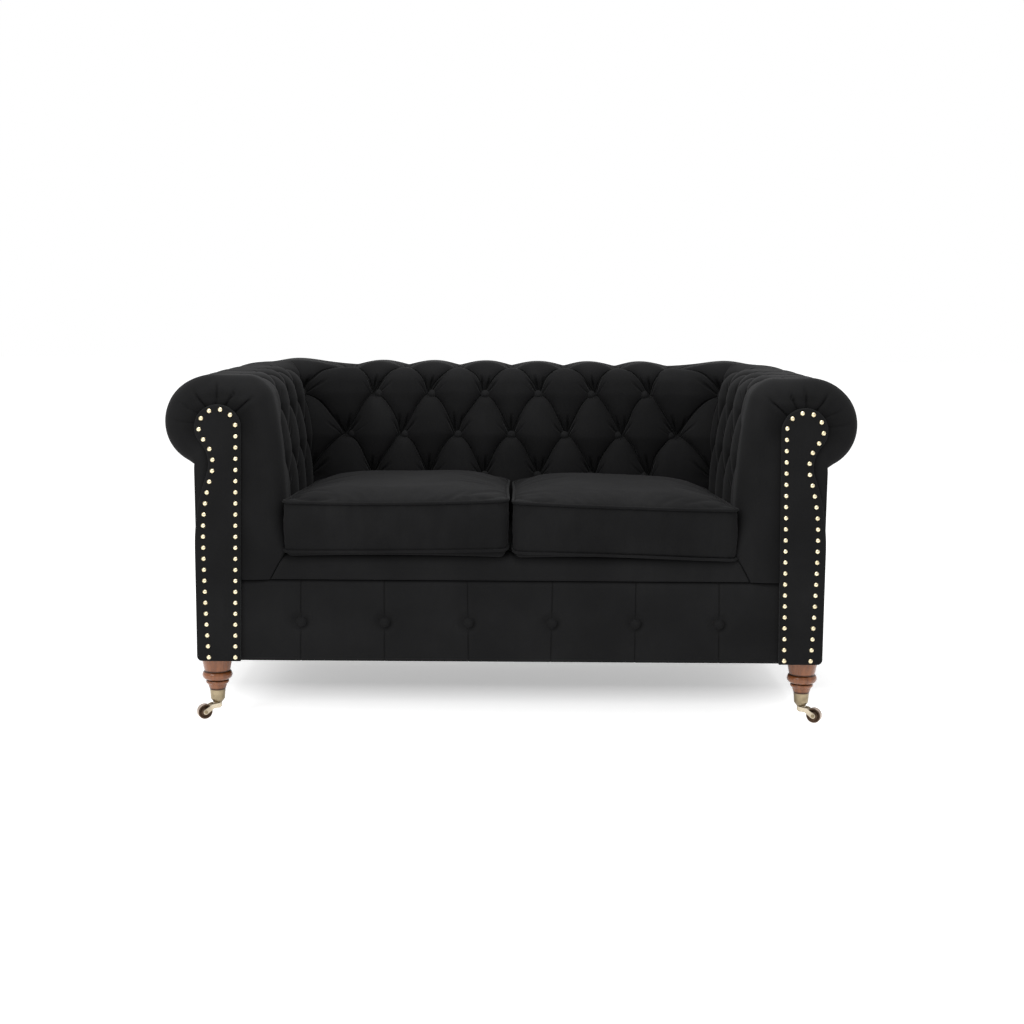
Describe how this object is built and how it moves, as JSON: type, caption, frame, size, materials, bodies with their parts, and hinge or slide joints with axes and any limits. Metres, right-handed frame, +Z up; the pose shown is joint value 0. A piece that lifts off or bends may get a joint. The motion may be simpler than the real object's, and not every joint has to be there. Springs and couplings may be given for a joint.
{
  "type": "two-seater sofa",
  "caption": "Low two-seater sofa with rolled arms and back at one height, deep diamond buttoning, loose seat cushions, nailed arm facings and turned legs on brass castors.",
  "frame": {"origin": "on the floor, under the middle of the sofa's width and depth", "axes": "+X to the sitter's left as seen from the front, which is the right of the picture, +Y from the front towards the back, +Z up"},
  "size_m": [1.56, 0.85, 0.804],
  "materials": {
    "velvet": "black cut-pile velvet with a soft sheen",
    "frame_wood": "bare softwood and plywood",
    "leg_wood": "reddish-brown polish",
    "nail_brass": "pale gold, domed",
    "castor_brass": "antique",
    "wheel_brass": "dark antique",
    "spring_steel": "plain",
    "webbing": "woven jute",
    "deck_cloth": "plain black cloth",
    "dust_cloth": "thin black cloth",
    "glide_plastic": "moulded"
  },
  "bodies": {
    "sofa": {"arm_buttons_left": "velvet", "arm_buttons_right": "velvet", "arm_facing_left": "velvet", "arm_facing_right": "velvet", "arm_pad_left": "velvet", "arm_pad_right": "velvet", "arm_post_left": "frame_wood", "arm_post_right": "frame_wood", "arm_roll_batten_left": "frame_wood", "arm_roll_batten_right": "frame_wood", "arm_tack_rail_left": "frame_wood", "arm_tack_rail_right": "frame_wood", "arm_top_rail_left": "frame_wood", "arm_top_rail_right": "frame_wood", "arm_webbing": "webbing", "back_buttons": "velvet", "back_pad": "velvet", "back_rail": "frame_wood", "back_ribs": "frame_wood", "back_roll_batten": "frame_wood", "back_tack_rail": "frame_wood", "back_top_rail": "frame_wood", "back_webbing": "webbing", "border_buttons": "velvet", "castor_cup_left": "castor_brass", "castor_cup_right": "castor_brass", "castor_pins": "castor_brass", "centre_rail": "frame_wood", "deck_pad": "deck_cloth", "dust_cover": "dust_cloth", "facing_nails_left": "nail_brass", "facing_nails_right": "nail_brass", "front_border": "velvet", "front_leg_left": "leg_wood", "front_leg_right": "leg_wood", "front_rail": "frame_wood", "leg_blocks": "frame_wood", "leg_bolts": "spring_steel", "outside_arm_panel_left": "velvet", "outside_arm_panel_right": "velvet", "outside_back_panel": "velvet", "rear_glides": "glide_plastic", "rear_leg_left": "leg_wood", "rear_leg_right": "leg_wood", "seat_lip": "velvet", "seat_springs": "spring_steel", "side_rail_left": "frame_wood", "side_rail_right": "frame_wood", "spring_clips": "spring_steel", "spring_cover": "deck_cloth"},
    "castor_left": {"castor_fork_left": "castor_brass", "castor_axle_left": "castor_brass"},
    "castor_right": {"castor_fork_right": "castor_brass", "castor_axle_right": "castor_brass"},
    "wheel_left": {"castor_wheel_left": "wheel_brass"},
    "wheel_right": {"castor_wheel_right": "wheel_brass"},
    "cushion_left": {"seat_cushion_left": "velvet", "cushion_piping_left": "velvet"},
    "cushion_right": {"seat_cushion_right": "velvet", "cushion_piping_right": "velvet"}
  },
  "joints": [
    {"name": "castor_swivel_left", "type": "hinge", "parent": "sofa", "child": "castor_left", "pos_m": [-0.678, -0.36, 0.03], "axis": [0, 0, 1], "continuous": true},
    {"name": "castor_swivel_right", "type": "hinge", "parent": "sofa", "child": "castor_right", "pos_m": [0.678, -0.36, 0.03], "axis": [0, 0, 1], "continuous": true},
    {"name": "castor_wheel_left", "type": "hinge", "parent": "castor_left", "child": "wheel_left", "pos_m": [-0.70651, -0.37453, 0.0175], "axis": [-0.454, 0.891, 0], "continuous": true},
    {"name": "castor_wheel_right", "type": "hinge", "parent": "castor_right", "child": "wheel_right", "pos_m": [0.70651, -0.37453, 0.0175], "axis": [0.454, 0.891, 0], "continuous": true},
    {"name": "cushion_left_lift", "type": "slide", "parent": "sofa", "child": "cushion_left", "axis": [0, 0, 1], "range_m": [0, 0.45]},
    {"name": "cushion_right_lift", "type": "slide", "parent": "sofa", "child": "cushion_right", "axis": [0, 0, 1], "range_m": [0, 0.45]}
  ]
}
